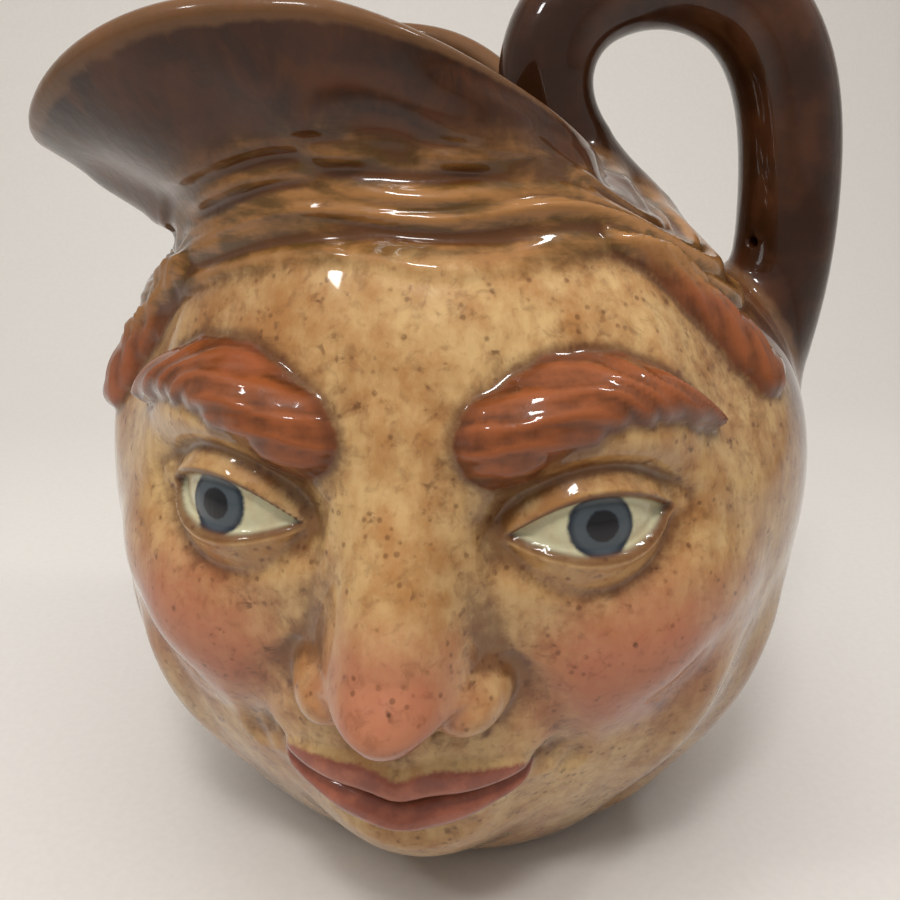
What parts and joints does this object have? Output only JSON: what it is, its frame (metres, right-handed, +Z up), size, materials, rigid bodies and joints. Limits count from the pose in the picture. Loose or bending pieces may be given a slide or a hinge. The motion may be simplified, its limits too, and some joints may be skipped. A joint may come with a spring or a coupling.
{
  "type": "face jug",
  "caption": "Hollow glazed earthenware jug shaped as a head, its flared hat brim drawn out to a pouring lip, with one looped handle opposite.",
  "frame": {"origin": "centre of the flat foot, at the level the jug stands on", "axes": "+Z up, -X toward the pouring lip, +X toward the handle, the face looking to -Y turned 12 degrees toward the lip"},
  "size_m": [0.1608, 0.1649, 0.1852],
  "materials": {
    "glazed_earthenware": "glossy clear glaze over brushed brown, auburn and flesh colours"
  },
  "bodies": {
    "root": {"jug": "glazed_earthenware"}
  },
  "joints": []
}
